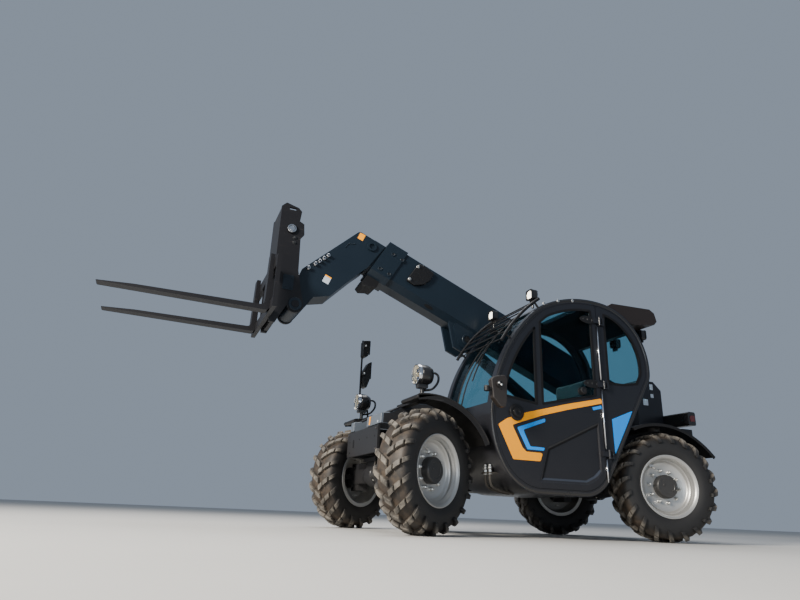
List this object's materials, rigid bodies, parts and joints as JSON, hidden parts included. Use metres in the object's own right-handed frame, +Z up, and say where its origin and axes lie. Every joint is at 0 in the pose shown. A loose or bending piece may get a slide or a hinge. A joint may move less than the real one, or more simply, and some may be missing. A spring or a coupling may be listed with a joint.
{
  "type": "compact electric telehandler",
  "caption": "Compact telehandler with a side cab, a telescopic boom with a gooseneck head and a fork carriage, and lugged tyres on two steered axles.",
  "frame": {"origin": "on the ground, midway along and across the machine", "axes": "+X forwards to the forks, +Y to the left (the cab's side), +Z up"},
  "size_m": [5.3388, 2.1054, 2.6616],
  "materials": {
    "body_paint": "satin paint, very dark blue",
    "boom_paint": "satin paint, very dark blue",
    "frame_paint": "satin paint, dark grey",
    "rim_silver": "gloss paint, silver",
    "tyre": "matt rubber",
    "rod_chrome": "polished",
    "cylinder_paint": "satin paint, black",
    "pad_plastic": "plain",
    "black_plastic": "fine grain",
    "trim_plastic": "fine grain",
    "seat_cloth": "woven",
    "glazing": "clear, lightly tinted",
    "cover_grey": "satin paint, blue grey",
    "lamp_plastic": "gloss",
    "fork_steel": "worn black paint",
    "battery_case": "plain"
  },
  "bodies": {
    "chassis": {"front_axle": "frame_paint", "rear_axle": "frame_paint", "chassis_frame": "frame_paint", "counterweight": "frame_paint", "tow_hitch": "frame_paint", "fenders": "black_plastic", "cab_shell": "body_paint", "cab_right_wall": "body_paint", "cab_quarter_panel": "body_paint", "cab_glass": "glazing", "seat_base": "trim_plastic", "seat_cushions": "seat_cloth", "dash_console": "trim_plastic", "steering_wheel": "trim_plastic", "roof_guard": "frame_paint", "roof_rear_hood": "body_paint", "side_box": "body_paint", "battery_pack": "battery_case", "rear_covers": "body_paint", "rear_lamp_bar": "lamp_plastic", "front_cover": "cover_grey", "lamps": "lamp_plastic", "mirrors": "black_plastic"},
    "boom_base": {"boom_outer": "boom_paint", "boom_wear_pads": "pad_plastic"},
    "boom_stage": {"boom_inner": "boom_paint", "tilt_barrel": "cylinder_paint"},
    "carriage": {"carriage": "boom_paint", "fork_frame": "fork_steel", "forks": "fork_steel"},
    "lift_barrel": {"lift_barrel": "cylinder_paint"},
    "lift_rod": {"lift_rod": "rod_chrome"},
    "tilt_rod": {"tilt_rod": "rod_chrome"},
    "door": {"door_panel": "body_paint", "door_glass": "glazing"},
    "hood": {"side_hood": "body_paint"},
    "front_left_knuckle": {"knuckle_front_left": "frame_paint"},
    "front_left_wheel": {"wheel_front_left": "rim_silver", "tyre_front_left": "tyre"},
    "front_right_knuckle": {"knuckle_front_right": "frame_paint"},
    "front_right_wheel": {"wheel_front_right": "rim_silver", "tyre_front_right": "tyre"},
    "rear_left_knuckle": {"knuckle_rear_left": "frame_paint"},
    "rear_left_wheel": {"wheel_rear_left": "rim_silver", "tyre_rear_left": "tyre"},
    "rear_right_knuckle": {"knuckle_rear_right": "frame_paint"},
    "rear_right_wheel": {"wheel_rear_right": "rim_silver", "tyre_rear_right": "tyre"}
  },
  "joints": [
    {"name": "front_left_steer", "type": "hinge", "parent": "chassis", "child": "front_left_knuckle", "pos_m": [0.3, 0.7, 0.433], "axis": [0, 0, 1], "range_deg": [-63, 7]},
    {"name": "front_left_spin", "type": "hinge", "parent": "front_left_knuckle", "child": "front_left_wheel", "pos_m": [0.27183, 0.75298, 0.433], "axis": [-0.4695, 0.8829, 0], "continuous": true},
    {"name": "front_right_steer", "type": "hinge", "parent": "chassis", "child": "front_right_knuckle", "pos_m": [0.3, -0.7, 0.433], "axis": [0, 0, 1], "range_deg": [-63, 7]},
    {"name": "front_right_spin", "type": "hinge", "parent": "front_right_knuckle", "child": "front_right_wheel", "pos_m": [0.32817, -0.75298, 0.433], "axis": [-0.4695, 0.8829, 0], "continuous": true},
    {"name": "rear_left_steer", "type": "hinge", "parent": "chassis", "child": "rear_left_knuckle", "pos_m": [-1.918, 0.7, 0.433], "axis": [0, 0, 1], "range_deg": [-20, 50]},
    {"name": "rear_left_spin", "type": "hinge", "parent": "rear_left_knuckle", "child": "rear_left_wheel", "pos_m": [-1.90247, 0.75796, 0.433], "axis": [0.2588, 0.9659, 0], "continuous": true},
    {"name": "rear_right_steer", "type": "hinge", "parent": "chassis", "child": "rear_right_knuckle", "pos_m": [-1.918, -0.7, 0.433], "axis": [0, 0, 1], "range_deg": [-20, 50]},
    {"name": "rear_right_spin", "type": "hinge", "parent": "rear_right_knuckle", "child": "rear_right_wheel", "pos_m": [-1.93353, -0.75796, 0.433], "axis": [0.2588, 0.9659, 0], "continuous": true},
    {"name": "boom_lift", "type": "hinge", "parent": "chassis", "child": "boom_base", "pos_m": [-2.259, -0.125, 1.25], "axis": [0, -1, 0], "range_deg": [-26, 44]},
    {"name": "boom_extend", "type": "slide", "parent": "boom_base", "child": "boom_stage", "axis": [0.9272, 0, 0.3746], "range_m": [0, 1.9]},
    {"name": "carriage_tilt", "type": "hinge", "parent": "boom_stage", "child": "carriage", "pos_m": [1.1858, -0.125, 1.7466], "axis": [0, -1, 0], "range_deg": [-75, 38]},
    {"name": "lift_barrel_swing", "type": "hinge", "parent": "boom_base", "child": "lift_barrel", "pos_m": [-0.4796, -0.125, 1.7015], "axis": [0, -1, 0], "range_deg": [-3, 1.8]},
    {"name": "lift_rod_slide", "type": "slide", "parent": "lift_barrel", "child": "lift_rod", "axis": [-0.8333, 0, -0.5528], "range_m": [-0.257, 0.434]},
    {"name": "tilt_rod_slide", "type": "slide", "parent": "boom_stage", "child": "tilt_rod", "axis": [0.8544, 0, -0.5196], "range_m": [-0.149, 0.293]},
    {"name": "door_hinge", "type": "hinge", "parent": "chassis", "child": "door", "pos_m": [-1.271, 0.885, 1.2], "axis": [0, 0, 1], "range_deg": [0, 85]},
    {"name": "side_hood_hinge", "type": "hinge", "parent": "chassis", "child": "hood", "pos_m": [-0.9, -0.285, 1.105], "axis": [-1, 0, 0], "range_deg": [0, 60]}
  ],
  "couplings": [
    {"joint": "front_right_steer", "follows": "front_left_steer", "ratio": 1},
    {"joint": "rear_right_steer", "follows": "rear_left_steer", "ratio": 1},
    {"joint": "lift_barrel_swing", "follows": "boom_lift", "ratio": -0.067},
    {"joint": "lift_rod_slide", "follows": "boom_lift", "m_per_rad": 0.5638},
    {"joint": "tilt_rod_slide", "follows": "carriage_tilt", "m_per_rad": -0.2235}
  ]
}
